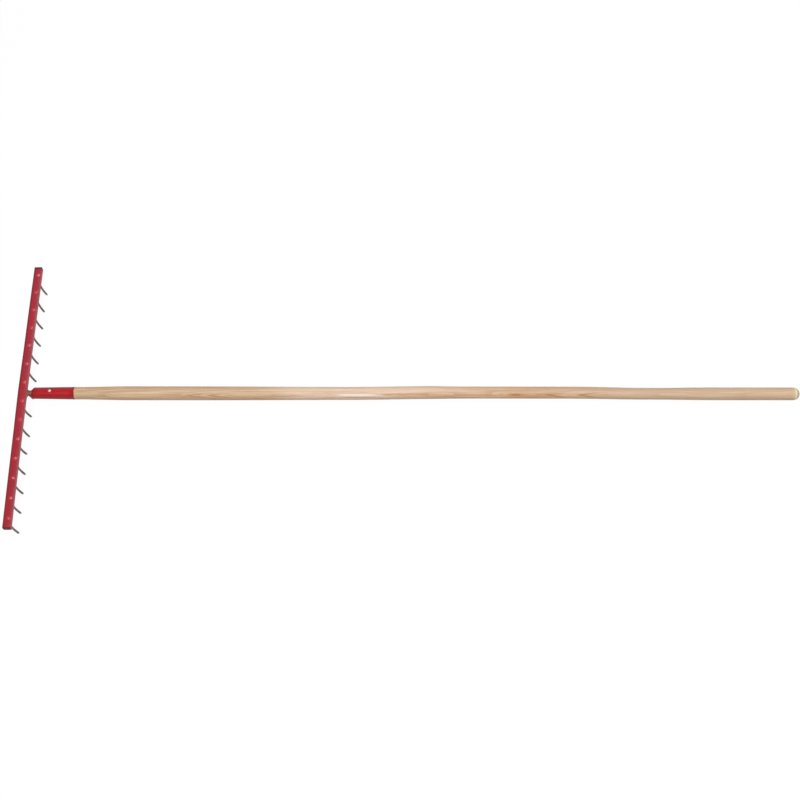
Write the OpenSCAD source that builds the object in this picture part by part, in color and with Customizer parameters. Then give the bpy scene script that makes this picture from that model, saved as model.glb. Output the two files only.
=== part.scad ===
// Landscape rake lying on its tine tips and on the butt of its handle.
// Millimetres, +Z up, +X from the head towards the butt, +Y across the rake.
// The origin is on the ground, below the middle of the rake's outline.

/* [Bar] */
// Length of the bar across the rake
bar_length = 627; // [500:1:800]
// Width of the bar from its front face to its handle side
bar_width = 17; // [14:0.5:20]
// Thickness of the bar between its top and its underside
bar_thickness = 13; // [12:0.5:16]
// Radius of the bar's rounded long edges
bar_edge_r = 1.5; // [0.5:0.25:2.5]
// Distance from each end of the bar to its outermost tine
bar_end_margin = 21; // [12:0.5:40]

/* [Tines] */
// Diameter of a tine below the bar
tine_d = 4.6; // [4:0.1:6]
// Height of the bar's underside above the tips of the tines
tine_drop = 76; // [55:1:110]
// Lean of a tine at each end of its curve, which bows away from the handle
tine_sweep = 14; // [6:0.5:18]
// Bevel around the blunt tip of a tine
tip_bevel = 0.6; // [0.2:0.1:1.2]
// Diameter of the tenon that passes through the bar
tenon_d = 3.4; // [2.6:0.1:3.7]
// Diameter of the peened head on top of the bar
head_d = 6; // [4.5:0.25:9]
// Height of the peened head above the bar
head_h = 1.1; // [0.6:0.1:2]

/* [Neck] */
// Diameter of the round neck between the bar and the socket
neck_d = 12; // [9:0.5:13]
// Leg of the fillet weld around the neck at the bar
weld_leg = 3.5; // [2:0.25:3.75]

/* [Socket] */
// Distance from the bar to the socket's mouth along the handle
socket_reach = 103.5; // [85:0.5:140]
// Distance from the bar to the start of the socket's tapered body
socket_body_start = 16; // [12:0.5:24]
// Outside diameter of the tapered body at its front
socket_front_d = 24.6; // [22:0.2:26]
// Outside diameter of the tapered body at its mouth
socket_mouth_d = 27.2; // [26:0.2:29]
// Thickness of the socket's sheet steel
socket_wall = 1.2; // [0.8:0.1:2]
// Distance from the bar to the point of the cone that the socket's front is pressed to
shoulder_start = 3.5; // [2.5:0.5:6]
// Half-angle of that cone
shoulder_angle = 52; // [46:1:56]
// Tilt of that cone, which draws the top back further than the underside
shoulder_tilt = 15; // [0:1:18]
// Diameter of the rolled bead at the mouth
rim_bead_d = 2.6; // [2:0.1:4]
// How far the bead stands out from the tapered body
rim_proud = 0.5; // [0.2:0.1:1]

/* [Nail] */
// Distance from the socket's mouth to the nail
nail_setback = 52; // [20:0.5:65]
// Diameter of the nail's round head
nail_head_d = 6.5; // [5:0.25:9]
// Height of the nail's head above the socket
nail_head_h = 1.6; // [0.8:0.1:2.5]
// Diameter of the nail's shank
nail_d = 3; // [2:0.25:4]
// Depth of the nail's point below the outside of the socket
nail_depth = 19; // [10:0.5:21]

/* [Handle] */
// Length of the handle from its front end inside the socket to the end of the butt
handle_length = 1670; // [1300:0.5:2000]
// Diameter of the handle just behind the socket
handle_mouth_d = 26.8; // [26:0.2:29]
// Diameter of the swell behind the socket
handle_swell_d = 30.2; // [28:0.2:34]
// Diameter at the end of the handle's stout front half
handle_middle_d = 28.2; // [26:0.2:32]
// Diameter of the slender shaft behind it
handle_shaft_d = 26.4; // [25:0.2:30]
// Diameter of the waist in front of the grip
handle_waist_d = 25.6; // [23:0.2:28]
// Diameter of the straight grip and of its round butt
grip_d = 28; // [26:0.2:32]
// Length of the straight grip
grip_length = 180; // [120:5:260]
// Bevel around the handle's front end
handle_front_bevel = 2; // [1:0.25:4]

/* [Hidden] */
$fn = 64;
tine_count = 14;
tine_names = [for (i = [1:tine_count]) str("tine_", i < 10 ? "0" : "", i)];

// Clearance of each round seat, and the overrun of each cut
seat_gap = 0.1;
overrun = 1;

// Points along a quarter round of the bar, along a peened or nail head, and along a blend of the handle
corner_steps = 6;
head_steps = 8;
blend_steps = 10;

// Ends of the handle's plain, swelling, full, falling, stout, slender and waisted stretches, as shares
// of the shaft between the socket's mouth and the grip
station_shares = [0, 0.006, 0.085, 0.19, 0.45, 0.55, 0.61, 0.80, 0.885, 0.915, 1];
station_ds = [
    handle_mouth_d, handle_mouth_d, handle_swell_d, handle_swell_d, handle_middle_d, handle_middle_d,
    handle_shaft_d, handle_shaft_d, handle_waist_d, handle_waist_d, grip_d
];

// Heights above the ground of the bar's underside, middle and top
bar_under_z = tine_drop;
axis_z = tine_drop + bar_thickness / 2;
bar_top_z = tine_drop + bar_thickness;
tine_pitch = (bar_length - 2 * bar_end_margin) / (tine_count - 1);

// Height of the last full round of a curved tine above the ground, and radius of its curve
foot_z = tip_bevel * cos(tine_sweep) + (tine_d / 2 - tip_bevel) * sin(tine_sweep);
tine_bend_r = (bar_under_z - foot_z) / (2 * sin(tine_sweep));

// Distances along the handle's axis, which starts at the middle of the bar
bar_face_s = bar_width / 2;
mouth_s = bar_face_s + socket_reach;
body_start_s = bar_face_s + socket_body_start;
cone_point_s = bar_face_s + shoulder_start;
nail_s = mouth_s - nail_setback;

// How far the cone at the socket's front moves back to leave the sheet's thickness, and where its
// upper side meets the bore, which is where the wood stops
shell_step = socket_wall / sin(shoulder_angle);
bore_front_r = socket_front_d / 2 - socket_wall;
wood_front_s = cone_point_s + shell_step * cos(shoulder_tilt)
    + (bore_front_r + shell_step * sin(shoulder_tilt)) / tan(shoulder_angle - shoulder_tilt);
butt_s = wood_front_s + handle_length;
butt_centre_s = butt_s - grip_d / 2;
grip_start_s = butt_centre_s - grip_length;

// Slope at which the bar lies level while the butt lies on the ground
handle_fall = asin((axis_z - grip_d / 2) / butt_centre_s);
head_x = (bar_width / 2 - butt_centre_s * cos(handle_fall) - grip_d / 2) / 2;

function tine_y(i) = ((tine_count - 1) / 2 - i) * tine_pitch;

function mix(a, b, t) = a + (b - a) * t;

// Smooth step from 0 to 1
function ease(t) = t * t * (3 - 2 * t);

// Outside radius of the socket's tapered body at a distance along the axis
function socket_r(s) =
    mix(socket_front_d, socket_mouth_d, (s - body_start_s) / (mouth_s - body_start_s)) / 2;

// Outline of a domed head of radius r and height h above z, from its rim to its crown
function dome_points(r, h, z) =
    let (ball_r = (r * r + h * h) / (2 * h), rim_angle = acos((ball_r - h) / ball_r))
    [for (k = [0:head_steps])
        let (a = rim_angle * (1 - k / head_steps))
        [ball_r * sin(a), z + h - ball_r + ball_r * cos(a)]];

// Outline of one blend between two stations of the handle, without its last point
function blend_points(i) =
    let (steps = station_ds[i] == station_ds[i + 1] ? 1 : blend_steps)
    [for (k = [0:steps - 1])
        let (
            t = k / steps,
            d = mix(station_ds[i], station_ds[i + 1], ease(t)),
            share = mix(station_shares[i], station_shares[i + 1], t)
        )
        [d / 2, mix(mouth_s + seat_gap, grip_start_s, share)]];

module at_head() {
    translate([head_x, 0, 0]) children();
}

// Local +Z runs along the handle towards the butt, and local -X points up
module along_handle() {
    at_head() translate([0, 0, axis_z]) rotate([0, 90 + handle_fall, 0]) children();
}

// Local +Z points up out of the socket at the nail, from the handle's axis
module at_nail() {
    along_handle() translate([0, 0, nail_s]) rotate([0, -90, 0]) children();
}

module rounded_rectangle(w, h, r) {
    polygon([for (q = [0:3], k = [0:corner_steps])
        let (a = 90 * (q + k / corner_steps), sx = q == 0 || q == 3 ? 1 : -1, sy = q < 2 ? 1 : -1)
        [sx * (w / 2 - r) + r * cos(a), sy * (h / 2 - r) + r * sin(a)]]);
}

// The bar without its holes
module bar_blank() {
    at_head() translate([0, 0, axis_z]) rotate([90, 0, 0])
        linear_extrude(height = bar_length, center = true)
            rounded_rectangle(bar_width, bar_thickness, bar_edge_r);
}

module bar() {
    color("#a82d38")
    difference() {
        bar_blank();
        at_head() for (i = [0:tine_count - 1])
            translate([0, tine_y(i), bar_under_z - overrun])
                cylinder(h = bar_thickness + 2 * overrun, d = tenon_d + 2 * seat_gap);
    }
}

// Round shank of a tine, bowed away from the handle: its tip is blunt, with a bevel, and its shoulder
// is flat under the bar
module tine_shank() {
    spare_turn = asin(tine_d / tine_bend_r);
    tip_r = tine_d / 2 - tip_bevel;
    cone_back_z = tip_bevel - 2 * bar_under_z;
    intersection() {
        translate([tine_bend_r * cos(tine_sweep), 0, (foot_z + bar_under_z) / 2])
            rotate([90, 0, 0]) rotate([0, 0, 180 - tine_sweep - spare_turn])
                rotate_extrude(angle = 2 * (tine_sweep + spare_turn))
                    translate([tine_bend_r, 0]) circle(d = tine_d);
        translate([0, 0, foot_z]) rotate([0, 180 - tine_sweep, 0]) rotate_extrude() polygon([
            [0, tip_bevel], [tip_r, tip_bevel], [tip_r + 2 * bar_under_z, cone_back_z], [0, cone_back_z]]);
        translate([-bar_width / 2, -tine_d, -overrun])
            cube([bar_width, 2 * tine_d, bar_under_z + overrun]);
    }
}

// One curved tine: shank, tenon through the bar and peened head on top
module tine(i) {
    tenon_r = tenon_d / 2;
    tenon_start_z = bar_under_z - overrun;
    color("#5a4f50")
    at_head() translate([0, tine_y(i), 0]) {
        tine_shank();
        rotate_extrude() polygon(concat(
            [[0, tenon_start_z], [tenon_r, tenon_start_z], [tenon_r, bar_top_z]],
            dome_points(head_d / 2, head_h, bar_top_z)));
    }
}

// Round stub that the bar is welded to, which runs through the socket's front up to the wood
module neck() {
    stub_start_s = bar_face_s - bar_edge_r;
    color("#8d5b4e")
    difference() {
        along_handle() translate([0, 0, stub_start_s])
            cylinder(h = wood_front_s - stub_start_s, d = neck_d);
        bar_blank();
    }
}

// Fillet weld around the neck, on the flat of the bar's handle side
module neck_weld() {
    flat_h = bar_thickness - 2 * bar_edge_r;
    weld_r = neck_d / 2 + weld_leg;
    color("#95685a")
    difference() {
        intersection() {
            along_handle() translate([0, 0, bar_face_s]) rotate_extrude() difference() {
                translate([0, -weld_leg]) square([weld_r, 2 * weld_leg]);
                translate([weld_r, weld_leg]) circle(r = weld_leg);
            }
            at_head() translate([0, -weld_r, axis_z - flat_h / 2]) cube([bar_width, 2 * weld_r, flat_h]);
        }
        along_handle() cylinder(h = mouth_s, d = neck_d + 2 * seat_gap);
        bar_blank();
    }
}

// Solid that the socket's sheet is formed around: a taper whose front is pressed to a tilted cone.
// inset is how far the face lies inside the sheet's outside, and back carries it past the mouth.
module socket_form(inset, back) {
    cone_h = socket_reach + socket_mouth_d;
    front_r = socket_r(0) - inset;
    back_r = socket_r(mouth_s + back) - inset;
    intersection() {
        cylinder(h = mouth_s + back, r1 = front_r, r2 = back_r);
        translate([0, 0, cone_point_s]) rotate([0, shoulder_tilt, 0])
            translate([0, 0, inset / sin(shoulder_angle)])
                cylinder(h = cone_h, r1 = 0, r2 = cone_h * tan(shoulder_angle));
    }
}

module rim_bead() {
    translate([0, 0, mouth_s - rim_bead_d / 2]) rotate_extrude()
        translate([socket_mouth_d / 2 + rim_proud - rim_bead_d / 2, 0]) circle(d = rim_bead_d);
}

module socket() {
    color("#ac2c38")
    difference() {
        along_handle() {
            socket_form(0, 0);
            rim_bead();
        }
        along_handle() {
            socket_form(socket_wall, overrun);
            cylinder(h = mouth_s, d = neck_d + 2 * seat_gap);
        }
        at_nail() cylinder(h = socket_mouth_d, d = nail_d + 2 * seat_gap);
    }
}

// Round-headed nail, driven through the top of the socket into the wood
module socket_nail() {
    out_r = socket_r(nail_s);
    head_r = nail_head_d / 2;
    rim_z = sqrt(out_r * out_r - head_r * head_r);
    point_z = out_r - nail_depth;
    shank_top_z = out_r + nail_head_h / 2;
    color("#c9bdb7") {
        difference() {
            at_nail() rotate_extrude()
                polygon(concat([[0, rim_z]], dome_points(head_r, out_r + nail_head_h - rim_z, rim_z)));
            along_handle()
                cylinder(h = mouth_s, r1 = socket_r(0) + seat_gap, r2 = socket_r(mouth_s) + seat_gap);
        }
        at_nail() rotate_extrude() polygon([
            [0, point_z], [nail_d / 2, point_z + nail_d], [nail_d / 2, shank_top_z], [0, shank_top_z]]);
    }
}

// Turned wooden handle: tapered tenon in the socket, shoulder at its mouth, swell, waist, straight
// grip and round butt
module handle() {
    front_s = wood_front_s + seat_gap;
    front_r = socket_r(front_s) - socket_wall - seat_gap;
    tenon_r = socket_r(mouth_s) - socket_wall - seat_gap;
    color("#d6b18b")
    difference() {
        along_handle() {
            rotate_extrude() polygon(concat(
                [[0, front_s], [front_r - handle_front_bevel, front_s],
                 [front_r, front_s + handle_front_bevel], [tenon_r, mouth_s + seat_gap]],
                [for (i = [0:len(station_ds) - 2]) each blend_points(i)],
                [[grip_d / 2, grip_start_s], [grip_d / 2, butt_centre_s], [0, butt_centre_s]]));
            translate([0, 0, butt_centre_s]) sphere(d = grip_d);
        }
        at_nail() translate([0, 0, socket_r(nail_s) - nail_depth - seat_gap])
            cylinder(h = nail_depth, d = nail_d + 2 * seat_gap);
    }
}

handle();
socket();
socket_nail();
neck();
neck_weld();
bar();
for (i = [0:tine_count - 1])
    tine(i);
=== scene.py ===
import math
import bmesh
import bpy
from mathutils import Matrix, Vector, noise


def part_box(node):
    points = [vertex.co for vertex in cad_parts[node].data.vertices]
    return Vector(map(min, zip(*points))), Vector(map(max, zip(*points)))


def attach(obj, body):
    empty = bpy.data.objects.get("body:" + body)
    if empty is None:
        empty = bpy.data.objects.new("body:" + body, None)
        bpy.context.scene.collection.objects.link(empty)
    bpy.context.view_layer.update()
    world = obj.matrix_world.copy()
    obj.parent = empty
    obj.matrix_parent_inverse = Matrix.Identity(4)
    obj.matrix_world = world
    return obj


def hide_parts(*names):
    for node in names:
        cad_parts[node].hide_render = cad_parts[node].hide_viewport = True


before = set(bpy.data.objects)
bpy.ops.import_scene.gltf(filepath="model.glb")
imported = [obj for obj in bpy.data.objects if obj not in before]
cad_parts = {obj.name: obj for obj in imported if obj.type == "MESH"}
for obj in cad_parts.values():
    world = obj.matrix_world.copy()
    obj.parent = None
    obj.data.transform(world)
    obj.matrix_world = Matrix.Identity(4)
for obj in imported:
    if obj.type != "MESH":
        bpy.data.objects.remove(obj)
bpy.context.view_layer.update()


# Bar: flat steel with rounded long edges, sheared to length, punched on the slant of the tines and
# painted red. The weld has drawn its ends towards the handle and swelled its front. The paint is
# thin on the edges and bruised round the tines' heads, where a painted highlight also lies. Painted
# shade darkens the front edge and the near half, a painted reflection lightens the rear edge, and
# the ends are dark.
bar_low, bar_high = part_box("bar")
bar_mid = (bar_low + bar_high) / 2
bar_size = bar_high - bar_low
bar_half = bar_size / 2
bar_edge_r = 0.0015
shear_bevel = 0.0007
punch_r = 0.0018
end_pull = 0.0018
weld_swell, swell_spread = 0.0009, 0.06
tine_sweep = math.radians(14)
head_set = bar_size.z * math.tan(tine_sweep)
tine_names = ["tine_%02d" % i for i in range(1, 15)]
tine_rows = {n: (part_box(n)[0].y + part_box(n)[1].y) / 2 for n in tine_names}
first_row = tine_rows["tine_01"]
tine_pitch = abs(first_row - tine_rows["tine_02"])


def weld_pull(y):
    """How far the weld, on cooling, has drawn this place on the bar towards the handle."""
    return end_pull * (y / bar_half.y) ** 2


class Shade:
    """A socket in a finish's node tree. Arithmetic on it adds Math nodes."""

    def __init__(self, tree, socket):
        self.tree, self.socket = tree, socket

    def node(self, kind, sockets, out=0, **settings):
        made = self.tree.nodes.new(kind)
        for name, value in settings.items():
            setattr(made, name, value)
        for name, value in sockets.items():
            if isinstance(value, Shade):
                self.tree.links.new(value.socket, made.inputs[name])
            elif made.inputs[name].type == "RGBA":
                made.inputs[name].default_value = (*value, 1)
            else:
                made.inputs[name].default_value = value
        return Shade(self.tree, made.outputs[out])

    def value(self, operation, *terms):
        return self.node("ShaderNodeMath", dict(enumerate(terms)), operation=operation)

    def __add__(self, other):
        return self.value("ADD", self, other)

    def __sub__(self, other):
        return self.value("SUBTRACT", self, other)

    def __rsub__(self, other):
        return self.value("SUBTRACT", other, self)

    def __mul__(self, other):
        return self.value("MULTIPLY", self, other)

    def __truediv__(self, other):
        return self.value("DIVIDE", self, other)

    __radd__ = __add__

    def size(self):
        """This value without its sign."""
        return self.value("ABSOLUTE", self)

    def rise(self, low, high):
        """0 below low, 1 above high, and smooth between them."""
        return self.node("ShaderNodeMapRange", {0: self, 1: low, 2: high},
                         interpolation_type="SMOOTHSTEP")

    def along(self, way, start):
        """Distance of this place from start, measured along way."""
        run = self.node("ShaderNodeVectorMath", {0: self, 1: tuple(way)}, out=1,
                        operation="DOT_PRODUCT")
        return run - start.dot(way)

    def cloud(self, sizes, detail=2.0, roughness=0.5):
        """Soft random patches of these sizes in metres, from 0 to 1 about 0.5."""
        stretched = self.node("ShaderNodeVectorMath", {0: self, 1: tuple(1 / s for s in sizes)},
                              operation="MULTIPLY")
        return stretched.node("ShaderNodeTexNoise", {
            "Vector": stretched, "Scale": 1.0, "Detail": detail, "Roughness": roughness})

    def specks(self, spacing, low, high):
        """Small round specks: 1 at a speck's middle, 0 away from it."""
        near = self.node("ShaderNodeTexVoronoi", {"Vector": self, "Scale": 1 / spacing})
        return 1 - near.rise(low, high)

    def tint(self, colour, other):
        """The first colour where this is 0, the other where it is 1."""
        return self.node("ShaderNodeMix", {0: self, 6: colour, 7: other}, out=2, data_type="RGBA")

    def into(self, finish, name):
        """Link this to a finish's input."""
        self.tree.links.new(self.socket, finish.inputs[name])


def new_finish(name, **constants):
    """A material, its shader and the place on the object that its pattern reads."""
    material = bpy.data.materials.new(name)
    material.use_nodes = True
    shader = material.node_tree.nodes["Principled BSDF"]
    for key, value in constants.items():
        shader.inputs[key.replace("_", " ")].default_value = value
    seat = material.node_tree.nodes.new("ShaderNodeTexCoord")
    return material, shader, Shade(material.node_tree, seat.outputs["Object"])


def relief(height, depth):
    """A bump of this depth in metres."""
    return height.node("ShaderNodeBump", {"Height": height, "Distance": depth, "Strength": 1.0})


paint_red = (0.420, 0.0085, 0.0165)
paint_deep = (0.315, 0.006, 0.0105)
paint_pale = (0.47, 0.028, 0.040)
paint_crimson = (0.370, 0.0130, 0.0330)
paint_thin, near_half_shade_red = (0.16, 0.016, 0.02), (0.27, 0.008, 0.015)
bruise_and_highlight_pink = (0.62, 0.090, 0.110)
front_edge_shade, rear_edge_reflection = (0.15, 0.012, 0.018), (0.25, 0.066, 0.078)
end_dark, sheared_end_dark = (0.075, 0.007, 0.013), (0.060, 0.0022, 0.0040)


def red_coat(place, lie):
    """Colour, roughness and height of the red paint, with faint streaks along the metal."""
    broad = place.cloud((0.06, 0.06, 0.06))
    patch = place.cloud((0.007, 0.007, 0.007), 3.0)
    streak = place.cloud(lie, 3.0, 0.6)
    peel = place.cloud((0.0011, 0.0011, 0.0011), 1.0)
    dust = place.specks(0.011, 0.02, 0.06) * place.cloud((0.03, 0.03, 0.03)).rise(0.5, 0.62)
    tone = broad * 0.5 + patch * 0.55 + streak * 0.6 - 0.33
    colour = tone.rise(0.28, 0.62).tint(paint_deep, paint_red)
    colour = (tone.rise(0.5, 0.95) * 0.45).tint(colour, paint_pale)
    colour = (dust * 0.5).tint(colour, paint_pale)
    rough = 0.40 + patch * 0.10 - streak * 0.06
    return colour, rough, peel * 0.6 + patch * 0.9 + streak * 0.5 + dust


material, shader, place = new_finish("red_paint_on_bar", Specular_IOR_Level=0.34)
along_bar = place.along((0, 1, 0), bar_mid)
length = along_bar.size()
back_run = place.along((1, 0, 0), bar_mid) - length * length * weld_pull(1)
across = back_run.size()
height = place.along((0, 0, 1), bar_mid).size()
top_depth = place.along((0, 0, 1), bar_high)
on_top = top_depth.rise(-0.0012, -0.0006)
colour, rough, grain = red_coat(place, (0.0013, 0.07, 0.0013))
ragged = place.cloud((0.004, 0.012, 0.004), 3.0)
corner = across.value(
    "MINIMUM", across - (bar_half.x - bar_edge_r), height - (bar_half.z - bar_edge_r))
worn = (corner + ragged * 0.0011).rise(0.0004, 0.0011)
# The sheared ends are coloured dark.
sheared = (length + ragged * 0.0012).rise(bar_half.y - 0.0012, bar_half.y - 0.0002)
far_end = (along_bar + ragged * 0.0010).rise(bar_half.y - 0.0062, bar_half.y - 0.0036)
# Painted shade: the front edge of the top and its rounded corner are darkened.
front = (ragged * 0.0014 - back_run).rise(bar_half.x - 0.0052, bar_half.x - 0.0016)
front = front * top_depth.rise(-0.0045, -0.0018)
# Painted reflection: the rear edge of the top is lightened.
rear = (ragged * 0.0014 + back_run).rise(bar_half.x - 0.0065, bar_half.x - 0.0010) * on_top
# Round each head the paint is bruised and lightened, partly as a painted highlight.
from_row = place.value(
    "PINGPONG", place.along((0, 1, 0), Vector((0, first_row, 0))), tine_pitch / 2)
behind_head = back_run - head_set
from_head = place.value("SQRT", from_row * from_row + behind_head * behind_head)
bruise_and_highlight = (1 - (from_head + ragged * 0.0030).rise(0.0040, 0.0078)) * on_top
# Painted shade: the near half of the bar is darker than the far half.
near_half_shade = place.along((0, -1, 0), bar_mid).rise(0.0, 0.20)
deeper = place.cloud((0.012, 0.05, 0.012)).rise(0.35, 0.65)
colour = (deeper * 0.7 + 0.15).tint(colour, paint_crimson)
colour = (worn * 0.45).tint(colour, paint_thin)
colour = (front * 0.78).tint(colour, front_edge_shade)
colour = (rear * 0.45).tint(colour, rear_edge_reflection)
colour = (bruise_and_highlight * 0.35).tint(colour, bruise_and_highlight_pink)
colour = (near_half_shade * 0.3).tint(colour, near_half_shade_red)
colour = (far_end * 0.85).tint(colour, end_dark)
colour = (sheared * 0.95).tint(colour, sheared_end_dark)
colour.into(shader, "Base Color")
(rough + worn * 0.08 + sheared * 0.2).into(shader, "Roughness")
relief(grain + sheared * ragged * 3.0, 0.00009).into(shader, "Normal")
bar_paint = material


def soften(bm, limit):
    """Smooth shading, with edges over the limit in degrees left sharp."""
    for face in bm.faces:
        face.smooth = True
    for edge in bm.edges:
        edge.smooth = len(edge.link_faces) == 2 and edge.calc_face_angle(0) < math.radians(limit)


def fit_piece(name, bm, slot, nodes, *finishes):
    """The mesh as a piece of the rake that stands for these nodes."""
    mesh = bpy.data.meshes.new(name)
    bm.to_mesh(mesh)
    bm.free()
    for finish in finishes:
        mesh.materials.append(finish)
    piece = bpy.data.objects.new(name, mesh)
    bpy.context.scene.collection.objects.link(piece)
    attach(piece, "root")
    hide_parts(*nodes)
    return piece


bm = bmesh.new()
bmesh.ops.create_cube(bm, size=1, matrix=Matrix.LocRotScale(bar_mid, None, bar_size))
long_edges = [e for e in bm.edges if abs(e.verts[0].co.y - e.verts[1].co.y) > bar_half.y]
bmesh.ops.bevel(bm, geom=long_edges, offset=bar_edge_r, segments=6, profile=0.5, affect="EDGES",
                material=-1)
ends = [f for f in bm.faces if abs(f.normal.y) > 0.99]
rims = [e for f in ends for e in f.edges]
bmesh.ops.bevel(bm, geom=rims, offset=shear_bevel, segments=3, profile=0.5, affect="EDGES",
                material=-1)
rows = list(tine_rows.values())
for middle in [(a + b) / 2 for a, b in zip(rows, rows[1:])]:
    whole = bm.verts[:] + bm.edges[:] + bm.faces[:]
    bmesh.ops.bisect_plane(bm, geom=whole, plane_co=(0, middle, 0), plane_no=(0, 1, 0))
bar = fit_piece("painted_bar", bm, "red_paint", ["bar"], bar_paint)

punches = bmesh.new()
for row in rows:
    centre = Matrix.Translation((bar_mid.x + head_set / 2, row, bar_mid.z))
    bmesh.ops.create_cone(punches, cap_ends=True, segments=28, radius1=punch_r, radius2=punch_r,
                          depth=2 * bar_size.z, matrix=centre @ Matrix.Rotation(tine_sweep, 4, "Y"))
punch_mesh = bpy.data.meshes.new("punches")
punches.to_mesh(punch_mesh)
punches.free()
punch = bpy.data.objects.new("punches", punch_mesh)
bpy.context.scene.collection.objects.link(punch)
holes = bar.modifiers.new("punched holes", "BOOLEAN")
holes.object, holes.operation, holes.solver = punch, "DIFFERENCE", "EXACT"
punched = bpy.data.meshes.new_from_object(bar.evaluated_get(bpy.context.evaluated_depsgraph_get()))
bar.modifiers.clear()
bpy.data.objects.remove(punch)
bm = bmesh.new()
bm.from_mesh(punched)
soften(bm, 25)
least_flat = 0.0002
for flat in [f for f in bm.faces if f.calc_area() > least_flat]:
    for edge in flat.edges:
        edge.smooth = False
for v in bm.verts:
    v.co.x += weld_pull(v.co.y)
    if v.co.x < bar_mid.x:
        v.co.x -= weld_swell * math.exp(-(v.co.y / swell_spread) ** 2)
bm.to_mesh(punched)
bm.free()
bar.data = punched


# Tines: fourteen lengths of dark round steel, bowed away from the handle, with blunt worn tips.
# Each has a shoulder under the bar and a tenon through it, hammered over into a painted head, which
# carries a painted highlight. Red overspray reaches down from the bar, and four tines are knocked a
# little out of line.
tine_r, tenon_r, tine_tip_bevel = 0.0023, 0.0017, 0.0006
head_r, head_h = 0.0030, 0.0011
blow_lean = 0.16
knocked = {"tine_02": (-0.0014, 0), "tine_07": (-0.0012, 0.0028), "tine_08": (-0.0012, 0.0032),
           "tine_10": (-0.0018, 0.0030)}
steel_dark, steel_pale = (0.088, 0.060, 0.065), (0.155, 0.116, 0.121)
steel_scuffed, tip_bright = (0.21, 0.195, 0.19), (0.50, 0.465, 0.460)
overspray_thin, overspray_full = (0.365, 0.180, 0.186), (0.46, 0.150, 0.160)
rust_brown = (0.13, 0.058, 0.036)
head_highlight_pink = (0.84, 0.180, 0.215)

material, shader, place = new_finish("dark_tine_steel", Specular_IOR_Level=0.45)
scale = place.cloud((0.006, 0.006, 0.010), 4.0, 0.6)
drawn = place.cloud((0.0006, 0.0006, 0.03), 3.0)
low_z = place.along((0, 0, 1), Vector())
scuffed = (1 - low_z.rise(0.002, 0.030)) * scale.rise(0.42, 0.60)
rust = place.cloud((0.004, 0.004, 0.006), 3.0).rise(0.60, 0.74)
colour = (scale * 0.7 + drawn * 0.5 - 0.1).rise(0.2, 0.8).tint(steel_dark, steel_pale)
colour = (scuffed * 0.5).tint(colour, steel_scuffed)
colour = (low_z.rise(0.010, 0.044) * (0.55 + scale * 0.3)).tint(colour, overspray_thin)
colour = (low_z.rise(0.033, 0.048) * 0.35).tint(colour, overspray_full)
colour = (0.9 - low_z.rise(0.001, 0.007) * 0.9).tint(colour, tip_bright)
colour = (rust * 0.35).tint(colour, rust_brown)
colour.into(shader, "Base Color")
(0.58 - scuffed * 0.14 + rust * 0.15 - drawn * 0.1).into(shader, "Roughness")
(0.35 + scuffed * 0.35 - rust * 0.3).into(shader, "Metallic")
relief(scale * 0.7 + drawn * 0.6, 0.00012).into(shader, "Normal")
tine_steel = material

material, shader, place = new_finish("red_paint_on_heads", Specular_IOR_Level=0.42)
colour, rough, grain = red_coat(place, (0.004, 0.004, 0.004))
# The heads are lightened to pink, partly rubbed paint and partly a painted highlight.
rubbed_and_highlight = place.cloud((0.0016, 0.0016, 0.0016), 2.0).rise(0.42, 0.60)
barer_and_highlight = place.cloud((0.07, 0.07, 0.07)).rise(0.38, 0.58)
(rubbed_and_highlight * 0.4 + barer_and_highlight * 0.35 + 0.1).tint(colour, head_highlight_pink).into(shader, "Base Color")
(rough - 0.08 - rubbed_and_highlight * 0.04).into(shader, "Roughness")
relief(grain, 0.00008).into(shader, "Normal")
head_paint = material


def turned(outline, steps):
    """A closed form spun about Z from (radius, height) points."""
    bm = bmesh.new()
    verts = [bm.verts.new((r, 0, z)) for r, z in outline]
    edges = [bm.edges.new(pair) for pair in zip(verts, verts[1:])]
    bmesh.ops.spin(bm, geom=verts + edges, cent=(0, 0, 0), axis=(0, 0, 1), angle=2 * math.pi,
                   steps=steps, use_merge=True)
    bmesh.ops.remove_doubles(bm, verts=bm.verts, dist=1e-6)
    bmesh.ops.recalc_face_normals(bm, faces=bm.faces)
    return bm


def dome(r, h, base, steps):
    """Outline of a round head, from its rim to its crown."""
    ball = (r * r + h * h) / (2 * h)
    rim = math.asin(r / ball)
    leans = [rim * (1 - k / steps) for k in range(steps + 1)]
    return [(ball * math.sin(lean), base + h - ball + ball * math.cos(lean)) for lean in leans]


shoulder_z = bar_low.z
foot_z = tine_tip_bevel * math.cos(tine_sweep) + (tine_r - tine_tip_bevel) * math.sin(tine_sweep)
bend_r = (shoulder_z - foot_z) / (2 * math.sin(tine_sweep))
bent_length = 2 * tine_sweep * bend_r + tine_tip_bevel


def bent(spot):
    """Where a place on a straight tine goes when it is bowed."""
    turn = tine_sweep - (shoulder_z - spot.z) / shoulder_z * bent_length / bend_r
    reach = bend_r - spot.x
    return Vector((bend_r * math.cos(tine_sweep) - reach * math.cos(turn), spot.y,
                   (foot_z + shoulder_z) / 2 + reach * math.sin(turn)))


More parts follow.
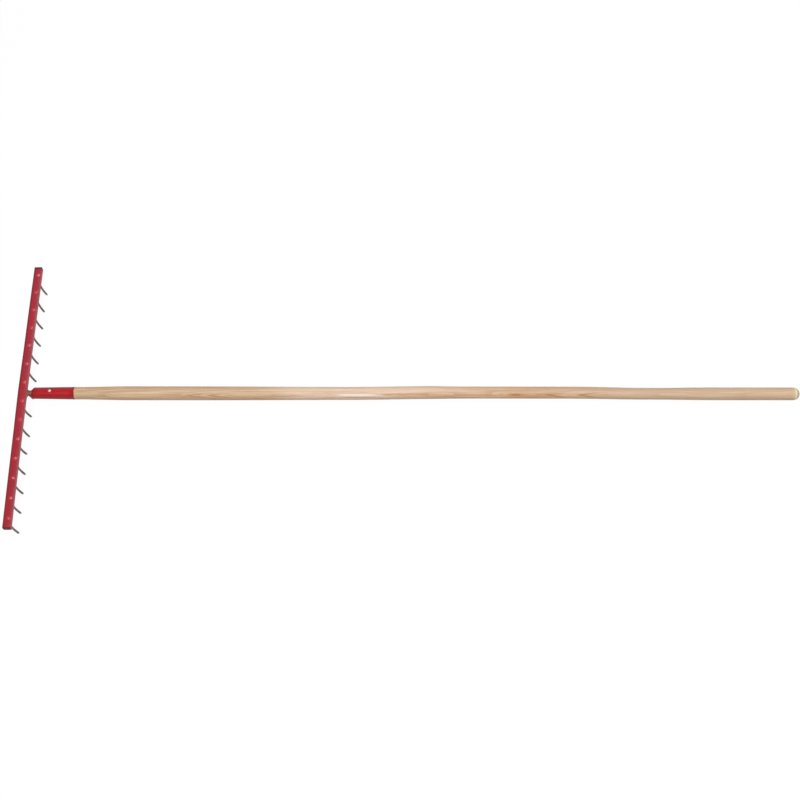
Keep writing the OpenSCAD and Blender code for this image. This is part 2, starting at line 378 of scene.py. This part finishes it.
tine_outline = [(0, 0), (tine_r * 0.4, 0), (tine_r - tine_tip_bevel, 0),
                (tine_r - 0.4 * tine_tip_bevel, 0.0002), (tine_r, tine_tip_bevel)]
tine_outline += [(tine_r, tine_tip_bevel + (shoulder_z - 0.001) * k / 20) for k in range(1, 20)]
tine_outline += [(tine_r, shoulder_z - 0.0002), (tine_r - 0.0002, shoulder_z),
                 (tenon_r, shoulder_z), (tenon_r, bar_high.z), (head_r - 0.0001, bar_high.z)]
tine_outline += dome(head_r, head_h, bar_high.z, 9)
for index, name in enumerate(tine_names):
    bm = turned(tine_outline, 28)
    blow = Vector((blow_lean * noise.noise((index * 3.7, 0, 0)),
                   blow_lean * noise.noise((0, index * 3.7, 5)), 1)).normalized()
    for v in bm.verts:
        spot = Vector((v.co.x, v.co.y, v.co.z + index))
        if v.co.z > bar_high.z + 1e-5:
            v.co.xy *= 1 + 0.07 * noise.noise(spot * 420)
            crown = (v.co - Vector((0, 0, bar_high.z))).dot(blow)
            v.co -= blow * max(0, crown - 0.82 * head_h) * 0.6
            v.co.z = max(bar_high.z, v.co.z + 0.00008 * noise.noise(spot * 700))
        elif v.co.z < shoulder_z - 0.0001:
            v.co.xy *= 1 + 0.02 * noise.noise(spot * 90)
            v.co = bent(v.co)
            v.co.xy += Vector(knocked.get(name, (0, 0))) * (1 - v.co.z / shoulder_z) ** 2
        v.co.x += head_set * min(1, max(0, (v.co.z - shoulder_z) / bar_size.z))
    row = tine_rows[name]
    bmesh.ops.translate(bm, vec=(bar_mid.x + weld_pull(row), row, 0), verts=bm.verts)
    soften(bm, 40)
    for face in bm.faces:
        face.material_index = int(face.calc_center_median().z > bar_high.z - 1e-5)
    fit_piece("riveted_" + name, bm, "tine_steel", [name], tine_steel, head_paint)


# Neck: a short round steel stub welded to the middle of the bar. It runs through the front of the
# socket up to the wood, and its steel is browned by the heat of the weld.
handle_low, handle_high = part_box("handle")
butt_r = 0.014
neck_aside = -0.0012
figure_side = (0, -0.43, 0.90)
axis_start = Vector((bar_mid.x, neck_aside, bar_mid.z))
butt_middle = Vector((handle_high.x - butt_r, 0, handle_low.z + butt_r))
handle_way = (butt_middle - axis_start).normalized()
handle_up = handle_way.cross((0, 1, 0)).normalized()
handle_side = handle_way.cross(handle_up)
low_way = handle_way.cross(figure_side).normalized()
butt_s = (butt_middle - axis_start).length
handle_axes = Matrix((handle_up, handle_side, handle_way)).transposed().to_4x4()
lay_along = Matrix.Translation(axis_start) @ handle_axes
bar_face_s = bar_half.x
neck_start_s, neck_end_s, neck_r = bar_face_s - bar_edge_r, 0.0287, 0.006
neck_dark, neck_red = (0.190, 0.058, 0.040), (0.330, 0.086, 0.066)
neck_scale, neck_pale = (0.085, 0.048, 0.034), (0.36, 0.13, 0.115)

material, shader, place = new_finish("browned_neck_steel", Specular_IOR_Level=0.35)
heat = place.cloud((0.006, 0.006, 0.006), 3.0)
scale = place.cloud((0.0016, 0.0016, 0.0016), 4.0, 0.6)
colour = heat.rise(0.36, 0.64).tint(neck_dark, neck_red)
colour = (scale.rise(0.55, 0.75) * 0.55).tint(colour, neck_scale)
colour = (0.4 - scale.rise(0.30, 0.42) * 0.4).tint(colour, neck_pale)
colour.into(shader, "Base Color")
(0.46 + scale * 0.22).into(shader, "Roughness")
(heat.rise(0.4, 0.7) * 0.25).into(shader, "Metallic")
relief(scale + heat * 0.8, 0.00022).into(shader, "Normal")
neck_brown = material

neck_outline = [(0, neck_start_s), (neck_r - 0.0002, neck_start_s)]
neck_outline += [(neck_r, neck_start_s + (neck_end_s - neck_start_s) * k / 24) for k in range(25)]
neck_outline += [(0, neck_end_s)]
bm = turned(neck_outline, 48)
for v in bm.verts:
    if v.co.z > bar_face_s:
        v.co.xy *= 1 + 0.012 * noise.noise(v.co * 260) - 0.006
bmesh.ops.transform(bm, matrix=lay_along, verts=bm.verts)
soften(bm, 40)
fit_piece("browned_neck", bm, "neck_steel", ["neck"], neck_brown)


# Weld: one rippled bead on each side of the neck, laid in the corner between it and the flat of the
# bar. It is left as laid, brown and a little bright on its ripples.
weld_leg, weld_sunk = 0.0035, 0.0002
weld_reach = math.radians(44)
ripples = 34
weld_dark, weld_bright = (0.140, 0.066, 0.046), (0.310, 0.120, 0.085)
slag_dark = (0.06, 0.040, 0.030)

material, shader, place = new_finish("weld_steel", Specular_IOR_Level=0.4)
heat = place.cloud((0.004, 0.004, 0.004), 3.0)
slag = place.cloud((0.0009, 0.0009, 0.0009), 3.0)
colour = heat.rise(0.38, 0.62).tint(weld_dark, weld_bright)
colour = (slag.rise(0.58, 0.72) * 0.5).tint(colour, slag_dark)
colour.into(shader, "Base Color")
(0.42 + slag * 0.25).into(shader, "Roughness")
(heat.rise(0.35, 0.6) * 0.4).into(shader, "Metallic")
relief(slag, 0.00012).into(shader, "Normal")
weld_brown = material

bm = bmesh.new()
bulge = [(neck_r + weld_leg * math.sin(a) ** 1.25, bar_face_s + weld_leg * math.cos(a) ** 1.25)
         for a in (math.pi / 2 * k / 8 for k in range(9))]
root_r, root_s = neck_r - weld_sunk, bar_face_s - weld_sunk
section = [(root_r, root_s), (root_r, bar_face_s + weld_leg)]
section += bulge + [(neck_r + weld_leg, root_s)]
for side in (-1, 1):
    turn = Matrix.Rotation(side * math.pi / 2 - weld_reach, 3, "Z")
    loop = [bm.verts.new(turn @ Vector((r, 0, s))) for r, s in section]
    rim = [bm.edges.new(pair) for pair in zip(loop, loop[1:] + loop[:1])]
    bmesh.ops.spin(bm, geom=loop + rim, cent=(0, 0, 0), axis=(0, 0, 1), angle=2 * weld_reach,
                   steps=56)
bmesh.ops.holes_fill(bm, edges=[e for e in bm.edges if e.is_boundary])
bmesh.ops.remove_doubles(bm, verts=bm.verts, dist=1e-7)
for v in bm.verts:
    r = v.co.xy.length
    turn = math.atan2(abs(v.co.x), abs(v.co.y)) * (1 if v.co.x > 0 else -1)
    full = math.sqrt(max(0.03, 1 - (turn / weld_reach) ** 2))
    ripple = 1 + 0.09 * math.cos(turn * ripples + 1.2 * math.copysign(1, v.co.y))
    ripple += 0.10 * noise.noise(v.co * 500)
    if r > neck_r:
        v.co.xy *= (neck_r + (r - neck_r) * full * ripple) / r
    if v.co.z > bar_face_s:
        v.co.z = bar_face_s + (v.co.z - bar_face_s) * full * ripple
bmesh.ops.recalc_face_normals(bm, faces=bm.faces)
bmesh.ops.transform(bm, matrix=lay_along, verts=bm.verts)
soften(bm, 50)
fit_piece("weld_beads", bm, "neck_steel", ["neck_weld"], weld_brown)


# Socket: sheet steel rolled to a taper, its front pressed down onto the neck and its mouth beaded.
# It is painted red, the bead's edge is dark, and the nail has drawn in the sheet round it. Painted
# shade darkens the pressed front and the flanks above and below, and the flanks also carry a
# painted sheen.
mouth_s, body_start_s = 0.112, 0.0245
front_r, mouth_r, sheet = 0.0123, 0.0136, 0.0012
press_start_s = bar_face_s + 0.0035
press_half, press_tilt = math.radians(52), math.radians(15)
press_blend, neck_fit = 0.0008, 0.0001
press_dent, dent_turn, dent_length = 0.0012, 0.5, 0.013
bead_w, bead_proud = 0.0026, 0.0005
nail_s, nail_head_r, nail_head_h = 0.0600, 0.00325, 0.0016
nail_dimple, dimple_spread = 0.0005, 0.0045
paint_bright = (0.460, 0.0100, 0.0145)
flank_shade_sheen_red, pressed_shade_dark = (0.290, 0.042, 0.046), (0.165, 0.014, 0.012)
mouth_rim_dark = (0.145, 0.046, 0.030)
cut_dark, cut_brown = (0.07, 0.03, 0.022), (0.16, 0.062, 0.045)

material, shader, place = new_finish("red_paint_on_socket", Specular_IOR_Level=0.16)
run = place.along(handle_way, axis_start)
up = place.along(handle_up, axis_start)
aside = place.along(handle_side, axis_start)
low = place.along(low_way, axis_start)
colour, rough, grain = red_coat(place, (0.05, 0.0011, 0.0011))
brighter = place.cloud((0.03, 0.004, 0.004)).rise(0.35, 0.65)
colour = (brighter * 0.6 + 0.3).tint(colour, paint_bright)
ragged = place.cloud((0.0015, 0.003, 0.003), 3.0)
# The bead's edge at the mouth is coloured dark.
rim = (run + ragged * 0.0008).rise(mouth_s - 0.0018, mouth_s - 0.0008)
seam = (1 - aside.size().rise(0.0002, 0.0006)) * (1 - up.rise(-0.009, -0.007))
# Painted shade: the pressed front is darkened.
pressed_front_shade = (1 - (run + ragged * 0.004).rise(0.021, 0.028)) * (1 - low.rise(0.0005, 0.0050))
# Painted shade with some painted sheen: the flanks above and below are darker and duller.
flank_shade_and_sheen = low.size().rise(0.004, 0.011)
colour = (flank_shade_and_sheen * 0.8).tint(colour, flank_shade_sheen_red)
colour = (pressed_front_shade * 0.8).tint(colour, pressed_shade_dark)
colour = (seam * 0.7).tint(colour, paint_deep)
colour = (rim * 0.9).tint(colour, mouth_rim_dark)
colour.into(shader, "Base Color")
(rough - 0.03 + rim * 0.12 + seam * 0.1).into(shader, "Roughness")
relief(grain - seam * 3.0 + ragged * rim, 0.00009).into(shader, "Normal")
socket_paint = material

material, shader, place = new_finish("cut_sheet_edge", Specular_IOR_Level=0.3)
scale = place.cloud((0.001, 0.001, 0.001), 3.0)
scale.tint(cut_dark, cut_brown).into(shader, "Base Color")
(0.5 + scale * 0.2).into(shader, "Roughness")
relief(scale, 0.0001).into(shader, "Normal")
cut_edge = material


def press_slope(turn):
    """Radius that the pressed front gains per metre along the handle, at this turn from the top."""
    a = (math.cos(turn) * math.sin(press_tilt)) ** 2 - math.cos(press_half) ** 2
    b = -math.cos(turn) * math.sin(press_tilt) * math.cos(press_tilt)
    c = math.cos(press_tilt) ** 2 - math.cos(press_half) ** 2
    return (-b - math.sqrt(b * b - a * c)) / a


def taper_r(s):
    """Outer radius of the rolled sheet at this distance from the bar."""
    return front_r + (mouth_r - front_r) * (s - body_start_s) / (mouth_s - body_start_s)


front_loops, front_end_s = 30, 0.040
loops = [k / front_loops for k in range(front_loops)] + [1 + k / 34 for k in range(30)]
loops += [2 - bead_w / (mouth_s - front_end_s) * (1 - k / 12) for k in range(13)]
bm = bmesh.new()
verts = [bm.verts.new((1, 0, t)) for t in loops]
edges = [bm.edges.new(pair) for pair in zip(verts, verts[1:])]
bmesh.ops.spin(bm, geom=verts + edges, cent=(0, 0, 0), axis=(0, 0, 1), angle=2 * math.pi, steps=96,
               use_merge=True)
for v in bm.verts:
    t, turn = v.co.z, math.atan2(v.co.y, v.co.x)
    slope = press_slope(turn)
    start = press_start_s + (neck_r + neck_fit) / slope
    s = front_end_s + (mouth_s - front_end_s) * (t - 1)
    if t < 1:
        s = start + (front_end_s - start) * t
    cone, body = slope * (s - press_start_s), taper_r(s)
    near = max(0, press_blend - abs(cone - body)) / press_blend
    r = min(cone, body) - near * near * press_blend / 4
    dent = max(0, math.sin(math.pi * min(1, (s - start) / dent_length)))
    r = max(min(r, neck_r + neck_fit), r - press_dent * math.exp(-(turn / dent_turn) ** 2) * dent)
    if s > mouth_s - bead_w:
        r += bead_proud * math.sin(math.pi * (mouth_s - s) / bead_w)
    drawn = math.hypot(s - nail_s, r * turn)
    r -= nail_dimple * math.exp(-(drawn / dimple_spread) ** 2)
    v.co = Vector((r * math.cos(turn), r * math.sin(turn), s))
bmesh.ops.recalc_face_normals(bm, faces=bm.faces)
bmesh.ops.transform(bm, matrix=lay_along, verts=bm.verts)
soften(bm, 50)
socket = fit_piece("pressed_socket", bm, "red_paint", ["socket"], socket_paint, cut_edge)
wall = socket.modifiers.new("sheet thickness", "SOLIDIFY")
wall.thickness, wall.offset, wall.use_even_offset, wall.material_offset_rim = sheet, -1, True, 1


# Handle: one turned length of pale wood under clear lacquer, a little crooked beyond its middle.
# Its front is driven into the socket. Behind the mouth it swells, narrows in two steps to a waist,
# and ends in a straight grip with a round butt, where the end grain shows. A painted sheen lightens
# the upper side along the middle, the pale streaks below it are partly painted sheen, and a painted
# highlight lies on the lower side near the middle and rings the butt.
wood_front_s = 0.0288
grip_length = 0.180
crook_out, crook_way = 0.0022, Vector((0.43, -0.90, 0))
stations = [(0, 0.0268), (0.006, 0.0268), (0.085, 0.0302), (0.19, 0.0302), (0.45, 0.0282),
            (0.55, 0.0282), (0.61, 0.0264), (0.80, 0.0264), (0.885, 0.0256), (0.915, 0.0256),
            (1, 0.028)]
face_turn = math.radians(40)
pith, ring_width = 0.075, 0.0031
knot_s, knot_low, flame_s, flame_low = 1.071, 0.0026, 0.48, 0.004
wood_straw, wood_rosy = (0.57, 0.390, 0.230), (0.65, 0.415, 0.270)
wood_golden, wood_pale = (0.58, 0.410, 0.230), (0.76, 0.555, 0.405)
thread_brown, late_brown = (0.52, 0.295, 0.165), (0.50, 0.280, 0.150)
pore_brown, ray_pale = (0.36, 0.190, 0.092), (0.78, 0.58, 0.41)
amber_brown, knot_brown = (0.60, 0.310, 0.150), (0.40, 0.190, 0.078)
bleached_grey, far_side_brown = (0.60, 0.465, 0.345), (0.45, 0.300, 0.190)
upper_sheen_pale, streaks_and_sheen_pale = (0.80, 0.63, 0.50), (0.88, 0.74, 0.64)
figure_rosy, figure_pale = (0.47, 0.250, 0.155), (0.52, 0.310, 0.200)
figure_dark = (0.43, 0.215, 0.090)
gleam_white, mouth_stain = (0.95, 0.84, 0.74), (0.74, 0.350, 0.250)
end_grain, butt_highlight_pale, end_grey = (0.61, 0.500, 0.290), (0.88, 0.78, 0.64), (0.300, 0.275, 0.270)

material, shader, place = new_finish("lacquered_wood", Specular_IOR_Level=0.16, Coat_Roughness=0.32)
face_way = handle_up * math.cos(face_turn) + handle_side * math.sin(face_turn)
edge_way = handle_way.cross(face_way)
run = place.along(handle_way, axis_start)
deep = place.along(face_way, axis_start)
wide = place.along(edge_way, axis_start)
fibre = place.node("ShaderNodeCombineXYZ", {0: run, 1: deep, 2: wide})
low = place.along(low_way, axis_start)
seen_side = place.along(low_way.cross(handle_way), axis_start)
shown = seen_side.rise(0.0, 0.004)


def stretch(start, full, fade, end):
    """1 along this stretch of the handle, 0 before and behind it."""
    return run.rise(start, full) * (1 - run.rise(fade, end))


def round_about(middle_s, middle_low, squeeze):
    """Distance from a place on the handle, much shortened along the grain."""
    off_s, off_low = run - middle_s, low - middle_low
    return fibre.value("SQRT", off_s * off_s * squeeze + off_low * off_low)


def cathedral(tip_s, tip_low, apart):
    """Pointed dark lines of the figure, one behind the other, that open towards the butt."""
    off_middle = (low - tip_low).size()
    behind = run - tip_s - off_middle * 7.5
    lines = 1 - place.value("PINGPONG", behind, apart / 2).rise(0.003, 0.012)
    reach = behind.rise(-0.016, -0.008) * (1 - behind.rise(1.1 * apart, 1.9 * apart))
    return lines * reach * (1 - off_middle.rise(0.0015, 0.0080)) * shown


bend = fibre.cloud((0.34, 0.05, 0.05), 2.0) - 0.5
waver = fibre.cloud((0.075, 0.02, 0.02), 2.0) - 0.5
from_pith = fibre.value("SQRT", (deep + pith) * (deep + pith) + wide * wide)
eye = round_about(knot_s, knot_low, 0.022)
flame = round_about(flame_s, flame_low, 0.0022)
growth = from_pith - pith + run * 0.013 + bend * 0.014 + waver * 0.0022
growth = growth + (1 - eye.rise(0.0, 0.009)) * 0.006
growth = growth + (1 - flame.rise(0.0, 0.007)) * seen_side.rise(0.0, 0.006) * 0.007
ring = growth / ring_width
year = ring.value("FRACT", ring)
late = year.rise(0.35, 0.93) * (1 - year.rise(0.94, 1.0))
streak = fibre.cloud((0.16, 0.0012, 0.0012), 3.0, 0.6)
thread = fibre.cloud((0.10, 0.0010, 0.0010), 2.0)
hue = fibre.cloud((0.30, 0.006, 0.006), 2.0)
pores = fibre.cloud((0.011, 0.00030, 0.00030), 1.0).rise(0.60, 0.72)
ray = fibre.cloud((0.0025, 0.0022, 0.0003), 1.0).rise(0.62, 0.75)
knot = (1 - eye.rise(0.0009, 0.0030)) * shown
gleam_edge = (low - 0.0034).size().rise(0.0010, 0.0034)
gleam = stretch(0.665, 0.705, 0.745, 0.790) * (1 - gleam_edge) * shown
amber = stretch(1.04, 1.07, 1.11, 1.19) * low.rise(-0.002, 0.006) * shown
# Pale streaks on the lower side, partly pale wood and partly painted sheen.
pale_streaks_and_sheen = stretch(0.52, 0.62, 0.74, 0.95) * low.rise(0.000, 0.005) * streak.rise(0.36, 0.50)
far_side = 1 - low.rise(-0.006, 0.000)
# Painted sheen: the upper side is lightened along the middle of the handle.
upper_sheen = stretch(0.48, 0.60, 0.84, 1.03) * far_side * (streak.rise(0.36, 0.60) * 0.4 + 0.6)
# The upper side is darker from 1.04 m towards the butt.
far_side_darker = stretch(1.04, 1.12, 1.50, 1.62) * far_side
bleached = run.rise(1.12, 1.36)
rosy = run.rise(0.25, 0.85) * (1 - run.rise(1.10, 1.50) * 0.7)
end_face = run.rise(butt_s - 0.007, butt_s - 0.003)
# Painted highlight: a bright ring round the butt.
butt_highlight_ring = 1 - (run - butt_s - 0.0030).size().rise(0.0008, 0.0022)
end_tip = run.rise(butt_s + 0.0050, butt_s + 0.0085)
by_mouth = 1 - run.rise(mouth_s + 0.0030, mouth_s + 0.0060)
colour = rosy.tint(wood_straw, wood_rosy)
colour = (hue.rise(0.40, 0.60) * 0.6).tint(colour, wood_golden)
colour = (streak.rise(0.46, 0.64) * 0.75).tint(colour, wood_pale)
colour = (thread.rise(0.52, 0.68) * 0.6).tint(colour, thread_brown)
colour = (late * 0.6).tint(colour, late_brown)
colour = (pores * (0.25 + late * 0.25)).tint(colour, pore_brown)
colour = (ray * 0.10).tint(colour, ray_pale)
colour = (amber * 0.55).tint(colour, amber_brown)
colour = (knot * 0.9).tint(colour, knot_brown)
colour = (bleached * 0.4).tint(colour, bleached_grey)
colour = (far_side_darker * 0.22).tint(colour, far_side_brown)
colour = (upper_sheen * 0.72).tint(colour, upper_sheen_pale)
colour = (cathedral(0.357, 0.0046, 0.047) * 0.95).tint(colour, figure_rosy)
colour = (cathedral(0.784, 0.0030, 0.028) * 0.95).tint(colour, figure_pale)
colour = cathedral(1.139, 0.0030, 0.070).tint(colour, figure_dark)
colour = (pale_streaks_and_sheen * 0.4).tint(colour, streaks_and_sheen_pale)
colour = (gleam * 0.75).tint(colour, gleam_white)
colour = (end_face * 0.55).tint(colour, end_grain)
colour = (butt_highlight_ring * 0.5).tint(colour, butt_highlight_pale)
colour = (end_tip * 0.5).tint(colour, end_grey)
colour = (by_mouth * 0.75).tint(colour, mouth_stain)
colour.into(shader, "Base Color")
(0.40 + pores * 0.12 + late * 0.05).into(shader, "Roughness")
(0.05 + streak.rise(0.42, 0.60) * 0.35).into(shader, "Coat Weight")
relief(streak * 0.4 - pores * 0.8 - late * 0.3, 0.00007).into(shader, "Normal")
lacquered_wood = material


def smooth_step(s, start, end):
    """0 before start, 1 after end, and smooth between them."""
    t = min(1, max(0, (s - start) / (end - start)))
    return t * t * (3 - 2 * t)


shaft_start_s, grip_start_s = mouth_s + 0.0001, butt_s - grip_length
wood_r = taper_r(wood_front_s) - sheet - 0.0001
tenon_end_r = mouth_r - sheet - 0.0001
shaft_r = stations[0][1] / 2
outline = [(0, wood_front_s), (wood_r - 0.002, wood_front_s), (wood_r, wood_front_s + 0.002),
           (tenon_end_r, shaft_start_s), (shaft_r - 0.0004, shaft_start_s),
           (shaft_r - 0.0001, shaft_start_s + 0.0001), (shaft_r, shaft_start_s + 0.0005)]
for (share, d), (next_share, next_d) in zip(stations, stations[1:]):
    steps = 20 if d != next_d else 8
    for k in range(1, steps + 1):
        t = k / steps
        s = shaft_start_s + (grip_start_s - shaft_start_s) * (share + (next_share - share) * t)
        outline.append(((d + (next_d - d) * smooth_step(t, 0, 1)) / 2, s))
outline += [(butt_r, grip_start_s + grip_length * k / 12) for k in range(1, 13)]
outline += [(butt_r * math.cos(a), butt_s + butt_r * math.sin(a))
            for a in (math.pi / 2 * k / 20 for k in range(1, 20))]
outline += [(0, butt_s + butt_r)]
bm = turned(outline, 72)
for v in bm.verts:
    s = v.co.z
    crook = smooth_step(s, 0.70, 0.90) * (1 - smooth_step(s, 1.19, 1.36))
    v.co += crook_way * crook_out * crook
bmesh.ops.transform(bm, matrix=lay_along, verts=bm.verts)
soften(bm, 40)
fit_piece("turned_handle", bm, "handle_wood", ["handle"], lacquered_wood)


# Nail: a bright round-headed steel nail, driven through the top of the socket into the wood. The
# hammer has left its head a little flat.
nail_r, nail_depth, nail_flat = 0.0015, 0.019, 0.0021
nail_dull, nail_bright = (0.60, 0.33, 0.29), (0.80, 0.52, 0.46)
nail_scratched = (0.45, 0.34, 0.31)

material, shader, place = new_finish("bright_nail_steel", Metallic=0.7)
marks = place.cloud((0.0012, 0.0012, 0.0012), 3.0)
scratch = place.cloud((0.004, 0.0002, 0.0006), 2.0)
colour = marks.rise(0.35, 0.65).tint(nail_dull, nail_bright)
(scratch.rise(0.55, 0.75) * 0.4).tint(colour, nail_scratched).into(shader, "Base Color")
(0.40 + marks * 0.16).into(shader, "Roughness")
relief(marks + scratch * 0.3, 0.00008).into(shader, "Normal")
nail_steel = material

nail_out = taper_r(nail_s)
nail_base = math.sqrt(nail_out ** 2 - nail_head_r ** 2) - 0.0003
nail_tip, dome_base = nail_out - nail_depth, nail_base + 0.0006
nail_outline = [(0, nail_tip), (nail_r, nail_tip + 0.003), (nail_r, nail_base),
                (nail_head_r - 0.0003, nail_base), (nail_head_r, nail_base + 0.0003)]
nail_outline += dome(nail_head_r, nail_out + nail_head_h - dome_base, dome_base, 10)
bm = turned(nail_outline, 36)
blow = Vector((0.10, -0.06, 1)).normalized()
for v in bm.verts:
    if v.co.z > nail_base:
        crown = (v.co - Vector((0, 0, nail_base))).dot(blow)
        v.co -= blow * max(0, crown - nail_flat) * 0.5
        v.co.xy *= 1 + 0.03 * noise.noise(v.co * 400)
stand_up = Matrix.Translation((0, 0, nail_s)) @ Matrix.Rotation(math.pi / 2, 4, "Y")
bmesh.ops.transform(bm, matrix=lay_along @ stand_up, verts=bm.verts)
soften(bm, 45)
fit_piece("driven_nail", bm, "nail_steel", ["socket_nail"], nail_steel)


# Floor, light and camera: a white floor that keeps a faint shadow near the rake, a white surround,
# and three soft lamps: one above on the camera's side, one beyond the butt and a weak one behind.
# Seen directly or in reflections, the surround and the floor beyond the shadow are plain white.
floor_reach = 8
floor_share, floor_grey, floor_white = 0.22, 0.35, 1.01
shadow_full, shadow_gone = 1.2, 3.0
surround_light = 0.16


def seen_directly(tree):
    """1 for rays from the camera, a reflection or clear glass, 0 for light that a surface gives."""
    path = tree.nodes.new("ShaderNodeLightPath")
    rays = ("Is Camera Ray", "Is Glossy Ray", "Is Transmission Ray")
    eye, gloss, glass = (Shade(tree, path.outputs[ray]) for ray in rays)
    return eye.value("MAXIMUM", eye.value("MAXIMUM", eye, gloss), glass)


bm = bmesh.new()
bmesh.ops.create_grid(bm, x_segments=1, y_segments=1, size=floor_reach)
floor_mesh = bpy.data.meshes.new("floor")
bm.to_mesh(floor_mesh)
bm.free()
floor = bpy.data.objects.new("floor", floor_mesh)
bpy.context.scene.collection.objects.link(floor)
paper = bpy.data.materials.new("white_floor")
paper.use_nodes = True
paper.node_tree.nodes.clear()
seen = seen_directly(paper.node_tree)
spot = Shade(paper.node_tree, paper.node_tree.nodes.new("ShaderNodeTexCoord").outputs["Object"])
away = spot.node("ShaderNodeVectorMath", {0: spot}, out=1, operation="LENGTH")
shaded = floor_share - away.rise(shadow_full, shadow_gone) * floor_share
matt = seen.node("ShaderNodeBsdfDiffuse", {"Color": (floor_grey,) * 3})
glow = (floor_white - shaded * floor_grey) / (1 - shaded)
white = seen.node("ShaderNodeEmission", {"Strength": glow})
mixed = seen.node("ShaderNodeMixShader", {0: seen * (1 - shaded), 1: matt, 2: white})
mixed.into(paper.node_tree.nodes.new("ShaderNodeOutputMaterial"), "Surface")
floor_mesh.materials.append(paper)

surround = bpy.data.worlds.new("white_surround")
surround.use_nodes = True
surround.node_tree.nodes.clear()
bpy.context.scene.world = surround
seen = seen_directly(surround.node_tree)
sky = seen.node("ShaderNodeBackground", {
    "Color": (1, 1, 1), "Strength": surround_light + seen * (1 - surround_light)})
sky.into(surround.node_tree.nodes.new("ShaderNodeOutputWorld"), "Surface")


def soft_lamp(name, place, aim, sizes, watts):
    """A soft lamp that shines from its place at aim and isn't seen itself."""
    lamp = bpy.data.lights.new(name, "AREA")
    lamp.shape, lamp.size, lamp.size_y, lamp.energy = "RECTANGLE", *sizes, watts
    holder = bpy.data.objects.new(name, lamp)
    turn = (Vector(place) - Vector(aim)).to_track_quat("Z", "Y").to_matrix().to_4x4()
    holder.matrix_world = Matrix.Translation(place) @ turn
    holder.visible_camera = False
    bpy.context.scene.collection.objects.link(holder)


soft_lamp("lamp_above", (-0.15, -1.7, 3.65), (0, 0, 0), (1.0, 2.0), 116)
soft_lamp("lamp_beyond_butt", (4.2, 0.3, 2.7), (-0.4, 0, 0), (1.2, 1.2), 96)
soft_lamp("lamp_behind", (-0.25, 2.6, 2.6), (0, 0, 0), (1.2, 0.9), 17)

camera_place = (-0.00034, -1.28689, 2.68756)
camera_pan = Matrix.Rotation(math.radians(1.1989), 4, "Z")
camera_tilt = Matrix.Rotation(math.radians(25.7188), 4, "X")
camera_roll = Matrix.Rotation(math.radians(-2.0096), 4, "Z")
camera = bpy.data.cameras.new("camera")
camera.lens, camera.sensor_width, camera.clip_end = 60.4366, 36, 50
viewer = bpy.data.objects.new("camera", camera)
viewer.matrix_world = Matrix.Translation(camera_place) @ camera_pan @ camera_tilt @ camera_roll
bpy.context.scene.collection.objects.link(viewer)
bpy.context.scene.camera = viewer
bpy.context.scene.view_settings.view_transform = "Standard"
